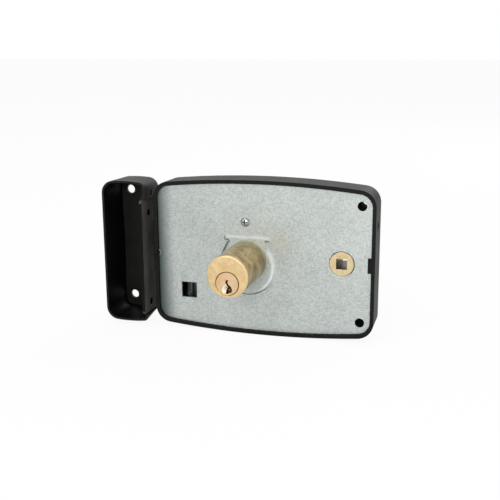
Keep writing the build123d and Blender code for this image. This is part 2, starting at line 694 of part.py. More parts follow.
def slot_hole(x0, x1, z, radius, y0, y1):
    """A slot along X with round ends whose centres are x0 and x1."""
    shape = Pos((x0 + x1) / 2, z) * SlotCenterToCenter(x1 - x0, 2 * radius)
    return prism(shape, y0, y1)


def deadbolt():
    """Bolt head and tail with the talon for the crank, the guide slot and two detent notches."""
    head = block(BOLT_FACE, BOLT_FACE + BOLT_LONG, BOLT_Y, BOLT_END,
                 DEADBOLT_TOP - DEADBOLT_TALL, DEADBOLT_TOP)
    head = fillet(head.faces().sort_by(Axis.X)[0].edges(), BOLT_ROUND)
    y0, y1 = BOLT_Y - PAST, BOLT_Y + DEADBOLT_TAIL + PAST
    bottom = DEADBOLT_TAIL_TOP - DEADBOLT_TAIL_TALL
    bolt = head + block(BOLT_FACE + BOLT_LONG - DEADBOLT_TAIL, CRANK_START_X + DEADBOLT_TAIL_REACH,
                        BOLT_Y, BOLT_Y + DEADBOLT_TAIL, bottom, DEADBOLT_TAIL_TOP)
    half = CRANK_PIN + CRANK_PLAY
    lowest = PLUG_Z - CRANK_THROW
    bolt -= block(CRANK_START_X - half, CRANK_START_X + half, y0, y1, lowest, DEADBOLT_TAIL_TOP + PAST)
    bolt -= disc(half, y0, y1, CRANK_START_X, lowest)
    bolt -= slot_hole(DEADBOLT_STUD_X, DEADBOLT_STUD_X + BOLT_THROW, DEADBOLT_STUD_Z, STUD + RUN, y0, y1)
    for x in (DETENT_X, DETENT_X + BOLT_THROW):
        wedge = make_face(Polyline((x - DETENT_NOTCH, bottom), (x, bottom + DETENT_NOTCH),
                                   (x + DETENT_NOTCH, bottom), close=True))
        bolt -= prism(wedge, y0, y1)
    return bolt


def guide_stud(x, z, plate_top):
    """Headed stud in the front of the case that guides a sliding piece."""
    shank = disc(STUD, plate_top - SLIDE, INNER_FRONT + FRONT / 2 - SIT, x, z)
    return shank + disc(STUD_HEAD, plate_top - SLIDE - STUD_HEAD_TALL, plate_top - SLIDE, x, z)


def deadbolt_stud():
    """Stud in the slot of the deadbolt."""
    return guide_stud(DEADBOLT_STUD_X, DEADBOLT_STUD_Z, BOLT_Y)


def latch_stud():
    """Stud in the slot of the latch slide."""
    return guide_stud(LATCH_STUD_X, SLIDE_Z, BOLT_Y)


def latch_head():
    """Sprung latch head, bevelled on the side that meets the keeper first."""
    head = block(LATCH_FACE, LATCH_REAR, BOLT_Y, BOLT_END, LATCH_BOTTOM, LATCH_BOTTOM + LATCH_TALL)
    wedge = Polyline((LATCH_FACE - PAST, BOLT_Y - PAST), (LATCH_FACE + LATCH_BEVEL, BOLT_Y - PAST),
                     (LATCH_FACE + LATCH_BEVEL, BOLT_Y), (LATCH_FACE, BOLT_END - LATCH_NOSE),
                     (LATCH_FACE - PAST, BOLT_END - LATCH_NOSE), close=True)
    head -= extrude(Pos(0, 0, LATCH_BOTTOM - PAST) * make_face(wedge), amount=LATCH_TALL + 2 * PAST)
    low, high = SLIDE_Z - SLIDE_TALL / 2, LATCH_BOTTOM + LATCH_TALL + PAST
    end = LATCH_REAR + PAST
    head -= block(LATCH_REAR - SLIDE_LAP, end, BOLT_Y - PAST, BOLT_Y + SLIDE_THICK, low, high)
    for x in rivet_places():
        head -= disc(RIVET_SHANK + SIT, BOLT_Y, BOLT_END - BLIND, x, latch_rivet_z())
    seat = LATCH_REAR - SPRING_SEAT
    bore = seat - LATCH_TRAVEL - SPRING_PIN_IN - BLIND
    head -= bar_x(SPRING_PIN + SPRING_CLEAR, bore, end, SPRING_Y, SPRING_Z)
    head -= bar_x(SPRING_RADIUS + SPRING_CLEAR, seat, end, SPRING_Y, SPRING_Z)
    return head


def rivet_places():
    """Places of the two rivets that join the latch head to its slide."""
    return (LATCH_REAR - SLIDE_LAP * 3 / 4, LATCH_REAR - SLIDE_LAP / 4)


def latch_rivet_z():
    """Height of those rivets."""
    return SLIDE_Z - SLIDE_TALL / 2 + RIVET_HEAD


def latch_slide():
    """Flat slide from the latch head to the follower, with a fork round the follower's arm."""
    low, high = SLIDE_Z - SLIDE_TALL / 2, SLIDE_Z + SLIDE_TALL / 2
    y0, y1 = BOLT_Y, BOLT_Y + SLIDE_THICK
    half = ARM_TIP + ARM_PLAY
    outer = half + FORK_WALL
    foot = ARM_TIP_Z - FORK_DEEP
    roof = ARM_TIP_Z + ARM_RISE + half
    slide = block(LATCH_REAR - SLIDE_LAP + SIT, ARM_TIP_X - outer + FORK_WALL / 2, y0, y1, low + SIT, high)
    slide += block(ARM_TIP_X - outer, ARM_TIP_X + outer, y0, y1, foot, roof + FORK_ROOF)
    back, front = y0 - PAST, y1 + PAST
    slide -= block(ARM_TIP_X - half, ARM_TIP_X + half, back, front, foot - PAST, roof)
    slide -= block(LATCH_REAR - SLIDE_LAP, LATCH_REAR, back, front, LATCH_BOTTOM + LATCH_TALL, high + PAST)
    slide -= slot_hole(LATCH_STUD_X - LATCH_TRAVEL, LATCH_STUD_X, SLIDE_Z, STUD + RUN, back, front)
    for x in rivet_places():
        slide -= disc(RIVET_SHANK + SIT, back, front, x, latch_rivet_z())
    return slide


def latch_rivets():
    """Two rivets between the latch head and the slide."""
    end = BOLT_END - BLIND - SIT
    return Compound(children=[disc(RIVET_SHANK, BOLT_Y, end, x, latch_rivet_z()) for x in rivet_places()])


def follower():
    """Brass follower: two journals, the body, the arm and the square hole for the spindle."""
    z = CASE_CENTRE_Z
    part = disc(FOLLOWER_RADIUS, PLATE_IN, CASE_DEPTH - SIT, FOLLOWER_X, z)
    part = chamfer(part.faces().sort_by(Axis.Y)[0].edges(), FOLLOWER_EDGE)
    part += disc(FOLLOWER_BODY, PLATE_BACK + SLIDE, INNER_FRONT - BEARING - SLIDE, FOLLOWER_X, z)
    y0 = BOLT_Y + SLIDE_THICK / 2 - ARM_THICK / 2
    shape = Pos(ARM_REACH / 2, 0) * Rectangle(ARM_REACH, ARM_WIDE) + Pos(ARM_REACH, 0) * Circle(ARM_TIP)
    shape = Pos(FOLLOWER_X, z) * Rot(0, 0, 90 + FOLLOWER_SWING / 2) * shape
    part += prism(shape, y0, y0 + ARM_THICK)
    half = FOLLOWER_SQUARE / 2
    return part - block(FOLLOWER_X - half, FOLLOWER_X + half, -PAST, CASE_DEPTH + PAST, z - half, z + half)


def coil_point(turn, start, pitch, radius):
    """A point of the spring's middle line and the direction of the wire there."""
    angle = 2 * pi * turn
    rise = pitch / (2 * pi)
    point = Vector(start + pitch * turn, SPRING_Y + radius * cos(angle), SPRING_Z + radius * sin(angle))
    return point, Vector(rise, -radius * sin(angle), radius * cos(angle)).normalized()


def two_arcs(p0, t0, p1, t1):
    """Two arcs in space that join two points and keep both directions."""
    chord, both, bend = p1 - p0, t0 + t1, 2 * (1 - t0.dot(t1))
    reach = (sqrt(chord.dot(both) ** 2 + bend * chord.dot(chord)) - chord.dot(both)) / bend
    corner0, corner1 = p0 + t0 * reach, p1 - t1 * reach
    middle = (corner0 + corner1) * 0.5
    along = (corner1 - corner0).normalized()
    return [TangentArc(p0, middle, tangent=t0), TangentArc(middle, p1, tangent=along)]


def latch_spring():
    """Compression spring behind the latch head, one unbroken wire on arcs of a quarter turn."""
    start = LATCH_REAR - SPRING_SEAT + SPRING_WIRE
    radius = SPRING_RADIUS - SPRING_WIRE
    pitch = (POST_X - SPRING_WIRE - start) / SPRING_TURNS
    arcs = []
    for step in range(2 * SPRING_TURNS):
        ends = coil_point(step / 2, start, pitch, radius) + coil_point((step + 1) / 2, start, pitch, radius)
        arcs += two_arcs(*ends)
    line = Wire([edge for arc in arcs for edge in arc.edges()])
    per_turn = 20
    points = [line.position_at(i / per_turn / SPRING_TURNS) for i in range(per_turn * SPRING_TURNS + 1)]
    pairs = [(p, q) for i, p in enumerate(points) for q in points[i + per_turn // 2:]]
    least = min((p - q).length for p, q in pairs) - 2 * SPRING_WIRE
    print("latch spring: least gap to itself", round(least, 2), "mm")
    profile = Plane(origin=line @ 0, z_dir=line % 0) * Circle(SPRING_WIRE)
    return sweep(profile, path=line)


def spring_pin():
    """Pin that carries the latch spring, fixed in its post."""
    return bar_x(SPRING_PIN, LATCH_REAR - SPRING_SEAT - SPRING_PIN_IN, POST_X + POST_THICK, SPRING_Y, SPRING_Z)


def detent_spring():
    """Leaf spring whose bent end lies in a notch of the deadbolt."""
    z = detent_z()
    side = z + DETENT_BITE - DETENT_TIP
    line = Polyline((DETENT_X - DETENT_LEAD, side), (DETENT_X, z + DETENT_BITE + DETENT_NOTCH / 2),
                    (DETENT_X + DETENT_LEAD, side), (DETENT_FOOT_X - DETENT_BOSS, z),
                    (DETENT_FOOT_X + DETENT_BOSS, z))
    front = BOLT_Y + DEADBOLT_TAIL - SIT
    strip = prism(trace(line, DETENT_STRIP), BOLT_Y + SIT, front)
    eye = disc(DETENT_BOSS, front - DETENT_STRIP, front, DETENT_FOOT_X, z)
    return strip + eye - disc(DETENT_RIVET + SIT, BOLT_Y - PAST, BOLT_END, DETENT_FOOT_X, z)


def detent_rivet():
    """Rivet of the detent spring."""
    z = detent_z()
    head = BOLT_Y - SIT
    shank = disc(DETENT_RIVET, head, BLIND_END - SIT, DETENT_FOOT_X, z)
    return shank + disc(2 * DETENT_RIVET, head - DETENT_RIVET, head, DETENT_FOOT_X, z)


def guide_bracket():
    """Strip of sheet steel across the bolts with a folded rib, on two posts of the case."""
    back = BOLT_Y - SLIDE
    edge, rib = BRACKET_X - BRACKET_EDGE, BRACKET_X + BRACKET_EDGE
    bracket = block(edge, edge + BRACKET_WIDE, back - BRACKET_SHEET, back, BRACKET_BOTTOM, BRACKET_TOP)
    bracket += block(rib, rib + BRACKET_SHEET, back - BRACKET_RIB, back, BRACKET_BOTTOM, BRACKET_TOP)
    for z in bracket_screw_places():
        bracket -= disc(BRACKET_SCREW + SIT, 0, BOLT_Y, BRACKET_X, z)
    return bracket


def bracket_screws():
    """Two small screws of the bracket."""
    top = BOLT_Y - SLIDE - BRACKET_SHEET
    screws = []
    for z in bracket_screw_places():
        head = disc(BRACKET_SCREW_HEAD, top - BRACKET_SHEET, top, BRACKET_X, z)
        screws.append(head + disc(BRACKET_SCREW, top, BLIND_END - SIT, BRACKET_X, z))
    return Compound(children=screws)


def keeper_block(inset, end):
    """The tapered block of the keeper, drawn in by a distance. The corners next to the lock open out."""
    sections = []
    foot = (KEEPER_BACK, inset, KEEPER_LIP_CORNER)
    crest = (end, inset + KEEPER_DRAFT, KEEPER_CORNER)
    for y, draw, lip_corner in (foot, crest):
        outline = barrel(KEEPER_WIDTH + KEEPER_LIP - 2 * draw, KEEPER_HEIGHT - 2 * draw, KEEPER_BULGE,
                         KEEPER_CORNER - draw, KEEPER_X + KEEPER_LIP / 2, CASE_CENTRE_Z, lip_corner - draw)
        sections.append(upright(y) * outline)
    return loft(sections, ruled=True)


def mouth(x0, x1):
    """The opening of the keeper that takes both bolts."""
    return block(x0, x1, BOLT_Y - MOUTH_CLEAR, BOLT_END + MOUTH_FRONT_CLEAR,
                 CASE_CENTRE_Z - MOUTH_TALL / 2, CASE_CENTRE_Z + MOUTH_TALL / 2)


def strike_holes(radius, x0, x1):
    """The two side screw holes of the keeper."""
    return [bar_x(radius, x0, x1, STRIKE_HOLE_Y, z) for z in (STRIKE_HOLE_TOP, STRIKE_HOLE_BOTTOM)]


def strike_rivet_places():
    """Heights of the rivets that hold the strike plate."""
    return (STRIKE_TOP - STRIKE_RIVET_IN, STRIKE_BOTTOM + STRIKE_RIVET_IN)


def keeper_cover():
    """Cast box, open towards the frame, with a ledge behind the strike plate and a mouth through it."""
    box = keeper_block(0, CASE_DEPTH)
    box = fillet(box.faces().sort_by(Axis.Y)[-1].edges(), FRONT_FILLET)
    box -= keeper_block(KEEPER_WALL, INNER_FRONT)
    ledge_x, ledge_y = KEEPER_RIGHT - KEEPER_LEDGE, KEEPER_BACK + KEEPER_LEDGE_IN
    roof = STRIKE_TOP + STRIKE_GAP
    ledge = block(ledge_x, KEEPER_RIGHT, ledge_y, INNER_FRONT + SIT, KEEPER_BOTTOM, roof + KEEPER_LEDGE)
    ledge += block(ledge_x, KEEPER_EDGE, ledge_y, INNER_FRONT + SIT, roof, roof + KEEPER_LEDGE)
    box += ledge & keeper_block(KEEPER_WALL / 2, CASE_DEPTH)
    recess = KEEPER_WIDTH / 2 - KEEPER_WALL - KEEPER_DRAFT
    box -= block(KEEPER_X - recess, KEEPER_X + recess, INNER_FRONT - PAST, INNER_FRONT + KEEPER_RECESS,
                 CASE_CENTRE_Z - KEEPER_RECESS_TALL / 2, CASE_CENTRE_Z + KEEPER_RECESS_TALL / 2)
    box -= Pos(KEEPER_X, INNER_FRONT + KEEPER_RECESS, CASE_CENTRE_Z) * Sphere(KEEPER_DIMPLE)
    for z in (SCREW_TOP, SCREW_BOTTOM):
        box -= disc(KEEPER_HOLE, 0, CASE_DEPTH + PAST, KEEPER_HOLE_X, z)
    inner, outer = KEEPER_RIGHT - 2 * KEEPER_LEDGE, KEEPER_EDGE + PAST
    box -= block(KEEPER_RIGHT, outer, KEEPER_BACK - PAST, STRIKE_END + STRIKE_GAP,
                 STRIKE_BOTTOM - STRIKE_GAP, roof)
    box -= mouth(inner, outer)
    box -= strike_holes(STRIKE_HOLE, inner, outer)
    for z in strike_rivet_places():
        box -= bar_x(STRIKE_RIVET + SIT, inner, outer, STRIKE_RIVET_Y, z)
    return box - keeper_slot(KEEPER_EDGE - KEEPER_WALL - KEEPER_DRAFT - SIT, outer)


def keeper_slot(x0, x1):
    """A short leaning slot through the side of the keeper, above the strike plate."""
    side = Plane(origin=(x0, KEEPER_SLOT_Y, KEEPER_TOP - KEEPER_SLOT_IN), x_dir=(0, 1, 0), z_dir=(1, 0, 0))
    shape = SlotOverall(KEEPER_SLOT_LONG, KEEPER_SLOT_WIDE, rotation=90 - KEEPER_SLOT_LEAN)
    return extrude(side * shape, amount=x1 - x0)


def strike_plate():
    """Steel plate on the side of the keeper that faces the lock."""
    x0, x1 = KEEPER_RIGHT, KEEPER_RIGHT + STRIKE
    plate = block(x0, x1, KEEPER_BACK, STRIKE_END, STRIKE_BOTTOM, STRIKE_TOP)
    plate = fillet(plate.edges().filter_by(Axis.X), STRIKE_CORNER)
    inner, outer = x0 - PAST, x1 + PAST
    plate -= mouth(inner, outer)
    plate -= strike_holes(STRIKE_HOLE, inner, outer)
    for z in strike_rivet_places():
        plate -= bar_x(STRIKE_RIVET + SIT, inner, outer, STRIKE_RIVET_Y, z)
    return plate


def strike_rivets():
    """Rivets that hold the strike plate to the keeper."""
    rivets = []
    inner = KEEPER_RIGHT - KEEPER_LEDGE - STRIKE_RIVET_END
    outer = KEEPER_RIGHT + STRIKE
    for z in strike_rivet_places():
        head = bar_x(STRIKE_RIVET_HEAD, outer, outer + STRIKE_RIVET_HEAD_TALL, STRIKE_RIVET_Y, z)
        rivets.append(head + bar_x(STRIKE_RIVET, inner, outer, STRIKE_RIVET_Y, z))
    return Compound(children=rivets)


PIECES = {
    "case_cover": case_cover,
    "back_plate": back_plate,
    "edge_rivet": edge_rivet,
    "plate_screw": plate_screw,
    "cylinder_body": cylinder_body,
    "cylinder_clamp": cylinder_clamp,
    "clamp_screws": clamp_screws,
    "driver_pins": driver_pins,
    "pin_springs": pin_springs,
    "chamber_caps": chamber_caps,
    "plug": plug,
    "key_pins": key_pins,
    "plug_clip": plug_clip,
    "tailpiece": tailpiece,
    "crank": crank,
    "turn_knob": turn_knob,
    "knob_pin": knob_pin,
    "deadbolt": deadbolt,
    "deadbolt_stud": deadbolt_stud,
    "detent_spring": detent_spring,
    "detent_rivet": detent_rivet,
    "latch_head": latch_head,
    "latch_slide": latch_slide,
    "latch_rivets": latch_rivets,
    "latch_stud": latch_stud,
    "latch_spring": latch_spring,
    "spring_pin": spring_pin,
    "follower": follower,
    "guide_bracket": guide_bracket,
    "bracket_screws": bracket_screws,
    "keeper_cover": keeper_cover,
    "strike_plate": strike_plate,
    "strike_rivets": strike_rivets,
}

os.makedirs("parts", exist_ok=True)
for name, make in PIECES.items():
    export_step(make(), f"parts/{name}.step")
print("bolt throw", round(BOLT_THROW, 2), "mm, arm reach", round(ARM_REACH, 2), "mm")
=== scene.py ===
"""Looks of the single-point rim lock: materials, floor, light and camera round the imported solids.

Everything is in metres in the frame of the solids: the origin is where the key cylinder's axis
meets the door face, Z is up, X runs towards the hinge side and -Y comes out of the door face.
"""
import math

import bpy
from mathutils import Matrix, Vector


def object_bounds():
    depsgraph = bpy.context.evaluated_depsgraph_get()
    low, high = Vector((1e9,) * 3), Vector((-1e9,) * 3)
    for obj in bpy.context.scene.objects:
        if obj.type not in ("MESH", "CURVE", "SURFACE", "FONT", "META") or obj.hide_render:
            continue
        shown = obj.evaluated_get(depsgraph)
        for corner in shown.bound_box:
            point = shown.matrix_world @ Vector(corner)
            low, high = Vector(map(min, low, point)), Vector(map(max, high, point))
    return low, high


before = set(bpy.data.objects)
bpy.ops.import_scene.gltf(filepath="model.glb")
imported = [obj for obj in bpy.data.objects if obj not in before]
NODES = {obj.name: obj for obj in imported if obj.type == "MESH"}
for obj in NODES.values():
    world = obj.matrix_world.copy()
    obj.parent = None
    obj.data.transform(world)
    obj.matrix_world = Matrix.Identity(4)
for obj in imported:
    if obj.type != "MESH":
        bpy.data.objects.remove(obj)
cad_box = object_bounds()

MM = 0.001

# The camera of the photograph
LENS = 62.07
SENSOR = 36.0
CAMERA_AT = Vector((146.7, -484.3, 132.6)) * MM
CAMERA_AIM = Vector((1.78, 1.5, 6.35)) * MM
CAMERA_ROLL = math.radians(-0.34)

# The floor and the light
FLOOR_HALF = 6.0
FLOOR_WHITE = 0.94
FLOOR_SHADOW = 0.08
AMBIENT = 0.62
KEY_WATTS = 7.0
KEY_SIZE = 0.45
KEY_AT = Vector((0.12, -1.15, 0.33))
TOP_WATTS = 2.4
TOP_SIZE = 0.50
TOP_AT = Vector((-0.35, -0.70, 0.95))
SIDE_WATTS = 1.0
SIDE_SIZE = 0.40
SIDE_AT = Vector((0.95, -0.75, -0.20))
BACK_WATTS = 4.0
BACK_SIZE = 0.60
BACK_AT = Vector((0.35, 1.05, 0.80))
LIGHT_AIM = Vector((0.0, 0.0, 0.0))

# Places on the lock where a finish, a painted light or a painted shade changes, in millimetres
PLATE_LEFT = -57.6
LEFT_SHADE = 11.8
LEFT_SLANT = 0.03
CASE_CENTRE = (9.0, 1.3)
KEEPER_CENTRE = (-80.0, 1.3)
SMUDGE = (19.0, 13.0)
SMUDGE_RADIUS = 12.0
PLUG_AXIS = (0.0, -3.95)
PLUG_RADIUS = 6.75
CYLINDER_FACE = -38.5
CYLINDER_EDGE = 0.7
CYLINDER_ROUND = 11.5
TARNISH_Y = (-14.0, -4.0)
FOOT_REFLECTION_Y = (-4.5, -2.5)
FUNNEL_DEEP = 2.0
FUNNEL_SPLIT = (-0.6, 0.2)
FOLLOWER_AXIS = (58.0, 1.3)
FOLLOWER_RADIUS = 7.5
FOLLOWER_HOLE = 4.7
SCREW_AXES = ((69.5, 36.6), (69.5, -34.0))
SCREW_RADIUS = 2.95
PLATE_SCREW = (-1.2, 23.4)
PLATE_SCREW_RADIUS = 2.8
RECESS_FLOOR = 0.75
PLATE_HOLE_RADIUS = 2.85
PAD_RADIUS = 18.0
PAD_HIGHLIGHT_FROM_RIM = (3.4, 1.6, 0.5)
PAD_HIGHLIGHT_X = (6.0, 12.0)
PAD_HIGHLIGHT_Z = (8.0, 5.0)
NECK_LEFT = (-12.0, 11.9)
NECK_NORMAL = (0.889, -0.458)
NECK_SHADE = (1.0, 2.2)
NECK_LOW = 4.5
NECK_RIGHT = -4.0
STRIKE_HOLES = ((6.0, 25.2), (6.0, -32.8))
STRIKE_HOLE_RADIUS = 2.1
SIDE_HOLE = (8.5, 24.1)
SIDE_HOLE_RADIUS = 2.3
SIDE_WALL = 70.0


def aim(obj, at, target, roll=0.0):
    """Put an object at a point with its -Z axis towards a target and Z up."""
    turn = (target - at).to_track_quat("-Z", "Y").to_matrix().to_4x4()
    obj.matrix_world = Matrix.Translation(at) @ turn @ Matrix.Rotation(roll, 4, "Z")


class Tree:
    """Short names for building one material's nodes."""

    def __init__(self, name):
        self.material = bpy.data.materials.new(name)
        self.material.use_nodes = True
        self.nodes = self.material.node_tree.nodes
        self.links = self.material.node_tree.links
        self.nodes.clear()
        self.out = self.nodes.new("ShaderNodeOutputMaterial")
        self.shader = self.nodes.new("ShaderNodeBsdfPrincipled")
        self.links.new(self.shader.outputs["BSDF"], self.out.inputs["Surface"])
        self.place = self.nodes.new("ShaderNodeTexCoord")

    def put(self, socket, value):
        """A value or a node's output into an input."""
        if isinstance(value, bpy.types.NodeSocket):
            self.links.new(value, socket)
        else:
            socket.default_value = value

    def stretched(self, scale=(1.0, 1.0, 1.0), shift=(0.0, 0.0, 0.0)):
        """The piece's own coordinates, stretched along its axes."""
        node = self.nodes.new("ShaderNodeMapping")
        node.inputs["Scale"].default_value = scale
        node.inputs["Location"].default_value = shift
        self.links.new(self.place.outputs["Object"], node.inputs["Vector"])
        return node.outputs["Vector"]

    def noise(self, scale, detail=4.0, rough=0.55, vector=None, distortion=0.0):
        """Soft noise, scale in features per metre."""
        node = self.nodes.new("ShaderNodeTexNoise")
        node.inputs["Scale"].default_value = scale
        node.inputs["Detail"].default_value = detail
        node.inputs["Roughness"].default_value = rough
        node.inputs["Distortion"].default_value = distortion
        self.links.new(vector or self.place.outputs["Object"], node.inputs["Vector"])
        return node.outputs["Fac"]

    def off_line(self, place, axis="Y"):
        """Distance in metres from the line along X or Y through a place given in millimetres."""
        node = self.nodes.new("ShaderNodeVectorMath")
        node.operation = "LENGTH"
        if axis == "Y":
            flat = self.stretched(scale=(1.0, 0.0, 1.0), shift=(-place[0] * MM, 0.0, -place[1] * MM))
        else:
            flat = self.stretched(scale=(0.0, 1.0, 1.0), shift=(0.0, -place[0] * MM, -place[1] * MM))
        self.links.new(flat, node.inputs[0])
        return node.outputs["Value"]

    def along(self, axis):
        """The piece's own coordinate along X, Y or Z, in metres."""
        split = self.nodes.new("ShaderNodeSeparateXYZ")
        self.links.new(self.place.outputs["Object"], split.inputs["Vector"])
        return split.outputs[axis]

    def facing(self, axis):
        """How far a face looks along X, Y or Z, from -1 to 1."""
        split = self.nodes.new("ShaderNodeSeparateXYZ")
        self.links.new(self.place.outputs["Normal"], split.inputs["Vector"])
        return split.outputs[axis]

    def facing_out(self):
        """1 on faces that look out of the door face, 0 on the others."""
        return self.spread(self.facing("Y"), -0.90, -0.98)

    def dot(self, first, second):
        """The dot product of two vectors."""
        node = self.nodes.new("ShaderNodeVectorMath")
        node.operation = "DOT_PRODUCT"
        self.links.new(first, node.inputs[0])
        self.links.new(second, node.inputs[1])
        return node.outputs["Value"]

    def facing_in(self, centre):
        """1 on walls that look towards the line along Y through a place given in millimetres."""
        arm = self.stretched(scale=(1.0, 0.0, 1.0), shift=(-centre[0] * MM, 0.0, -centre[1] * MM))
        return self.step(self.dot(arm, self.place.outputs["Normal"]), -1.0, -4.0)

    def worn_edge(self, radius):
        """1 on sharp edges, fading out within a radius in millimetres."""
        geometry = self.nodes.new("ShaderNodeNewGeometry")
        return self.spread(self.dot(self.soft_edge(radius), geometry.outputs["Normal"]), 0.97, 0.80)

    def cells(self, scale):
        """One grey per crystal, scale in crystals per metre."""
        node = self.nodes.new("ShaderNodeTexVoronoi")
        node.inputs["Scale"].default_value = scale
        self.links.new(self.place.outputs["Object"], node.inputs["Vector"])
        split = self.nodes.new("ShaderNodeSeparateColor")
        self.links.new(node.outputs["Color"], split.inputs["Color"])
        return split.outputs["Red"]

    def spread(self, value, low, high, out_low=0.0, out_high=1.0, how="LINEAR"):
        """Map a range of a value onto another range, clamped."""
        node = self.nodes.new("ShaderNodeMapRange")
        node.interpolation_type = how
        self.put(node.inputs["Value"], value)
        node.inputs["From Min"].default_value = low
        node.inputs["From Max"].default_value = high
        node.inputs["To Min"].default_value = out_low
        node.inputs["To Max"].default_value = out_high
        return node.outputs["Result"]

    def step(self, value, low, high, out_low=0.0, out_high=1.0, how="LINEAR"):
        """Map a range in millimetres of a value in metres onto another range, clamped."""
        return self.spread(value, low * MM, high * MM, out_low, out_high, how)

    def within(self, distance, radius, soft=0.1):
        """1 where a distance lies inside a radius in millimetres, softened inwards."""
        return self.step(distance, radius - soft, radius, 1.0, 0.0)

    def sum(self, first, second, how="ADD"):
        """Two values added, or joined as named."""
        node = self.nodes.new("ShaderNodeMath")
        node.operation = how
        self.put(node.inputs[0], first)
        self.put(node.inputs[1], second)
        return node.outputs["Value"]

    def both(self, first, *others):
        """The product of some values: of masks, 1 only where all of them are."""
        for other in others:
            first = self.sum(first, other, "MULTIPLY")
        return first

    def blend(self, factor, first, second):
        """Mix two colours."""
        node = self.nodes.new("ShaderNodeMix")
        node.data_type = "RGBA"
        self.put(node.inputs["Factor"], factor)
        sockets = [s for s in node.inputs if s.type == "RGBA"]
        self.put(sockets[0], first)
        self.put(sockets[1], second)
        return [s for s in node.outputs if s.type == "RGBA"][0]

    def bumps(self, height, depth, strength, normal):
        """Surface relief of a depth in millimetres over a surface's own normals."""
        node = self.nodes.new("ShaderNodeBump")
        node.inputs["Strength"].default_value = strength
        node.inputs["Distance"].default_value = depth * MM
        self.links.new(height, node.inputs["Height"])
        self.links.new(normal, node.inputs["Normal"])
        return node.outputs["Normal"]

    def soft_edge(self, radius):
        """Normals that turn over the edges, as a broken edge of a radius in millimetres does."""
        node = self.nodes.new("ShaderNodeBevel")
        node.samples = 6
        node.inputs["Radius"].default_value = radius * MM
        return node.outputs["Normal"]

    def finish(self, **sockets):
        """Put values on the shader's sockets and hand over the material."""
        for name, value in sockets.items():
            self.put(self.shader.inputs[name.replace("_", " ")], value)
        return self.material


def rgb(r, g, b):
    """A colour given as screen values from 0 to 255."""
    def linear(v):
        v = v / 255.0
        return v / 12.92 if v <= 0.04045 else ((v + 0.055) / 1.055) ** 2.4
    return (linear(r), linear(g), linear(b), 1.0)


def pad_lights(t, colour):
    """The pad's pressed edge: a painted highlight strip at the right, a painted shade on the neck at the
    left.
    """
    across, up, ring = t.along("X"), t.along("Z"), t.off_line(PLUG_AXIS)
    start, full, stop = PAD_HIGHLIGHT_FROM_RIM
    # A painted highlight strip on the pad's slope at the right
    pad_highlight = t.both(t.step(ring, PAD_RADIUS - start, PAD_RADIUS - full, 0.0, 0.55, "SMOOTHSTEP"),
                    t.within(ring, PAD_RADIUS, stop), t.step(across, *PAD_HIGHLIGHT_X), t.step(up, *PAD_HIGHLIGHT_Z))
    colour = t.blend(pad_highlight, colour, rgb(232, 236, 234))
    # Painted shade on the neck's slope at the left
    offset = -(NECK_LEFT[0] * NECK_NORMAL[0] + NECK_LEFT[1] * NECK_NORMAL[1]) * MM
    from_neck = t.sum(t.sum(t.both(across, NECK_NORMAL[0]), t.both(up, NECK_NORMAL[1])), offset)
    shaded = t.both(t.step(from_neck, -0.3, 0.0), t.step(from_neck, *NECK_SHADE, 0.75, 0.0),
                    t.step(up, NECK_LOW, NECK_LOW + 1.0), t.within(up, NECK_LEFT[1] + 0.3, 0.3),
                    t.within(across, NECK_RIGHT, 1.0))
    return t.blend(shaded, colour, rgb(84, 90, 88))


def galvanised():
    """Zinc dipped sheet: fine crystals, rolled grain, soft clouds, a painted shade along the left edge,
    painted light and shade on the pad's slopes, painted shade in the screw holes and a warm smudge.
    """
    t = Tree("galvanised_sheet")
    crystals = t.cells(800.0)
    grain = t.noise(1300.0, detail=5.0, rough=0.75)
    clouds = t.noise(24.0, detail=3.0)
    tone = t.sum(t.spread(crystals, 0.0, 1.0, -0.20, 0.20), t.spread(grain, 0.3, 0.7, -0.55, 0.55))
    tone = t.sum(tone, t.spread(clouds, 0.3, 0.7, 0.40, 0.60))
    colour = t.blend(tone, rgb(144, 150, 147), rgb(194, 199, 196))
    # Painted shade along the plate's left edge, wider towards the bottom
    slanted = t.sum(t.along("X"), t.both(t.along("Z"), LEFT_SLANT))
    left_shade = t.step(slanted, PLATE_LEFT - 1.0, PLATE_LEFT + LEFT_SHADE, 1.0, 0.0, "SMOOTHSTEP")
    colour = t.blend(left_shade, colour, rgb(72, 84, 80))
    # Painted highlight on pressed slopes that look up or right, painted shade on those that look left
    pressed = t.spread(t.facing("Y"), -0.95, -0.90)
    slope_light = t.spread(t.sum(t.facing("X"), t.facing("Z")), -0.2, 0.3)
    edge = t.blend(slope_light, rgb(96, 104, 102), rgb(226, 231, 229))
    colour = t.blend(t.both(pressed, 0.7), colour, edge)
    colour = pad_lights(t, colour)
    tongue = t.within(t.along("X"), PLATE_LEFT - 0.1)
    colour = t.blend(tongue, colour, rgb(16, 17, 15))
    # Painted shade inside the screw holes
    for place in SCREW_AXES:
        colour = t.blend(t.within(t.off_line(place), PLATE_HOLE_RADIUS, 0.05), colour, rgb(10, 10, 9))
    smudge = t.step(t.off_line(SMUDGE), 0.2 * SMUDGE_RADIUS, SMUDGE_RADIUS, 0.18, 0.0)
    colour = t.blend(smudge, colour, rgb(178, 166, 146))
    rough = t.spread(t.sum(crystals, grain), 0.4, 1.6, 0.50, 0.60)
    normal = t.bumps(grain, 0.03, 0.5, t.soft_edge(0.18))
    return t.finish(Base_Color=colour, Metallic=0.85, Roughness=rough, Normal=normal)


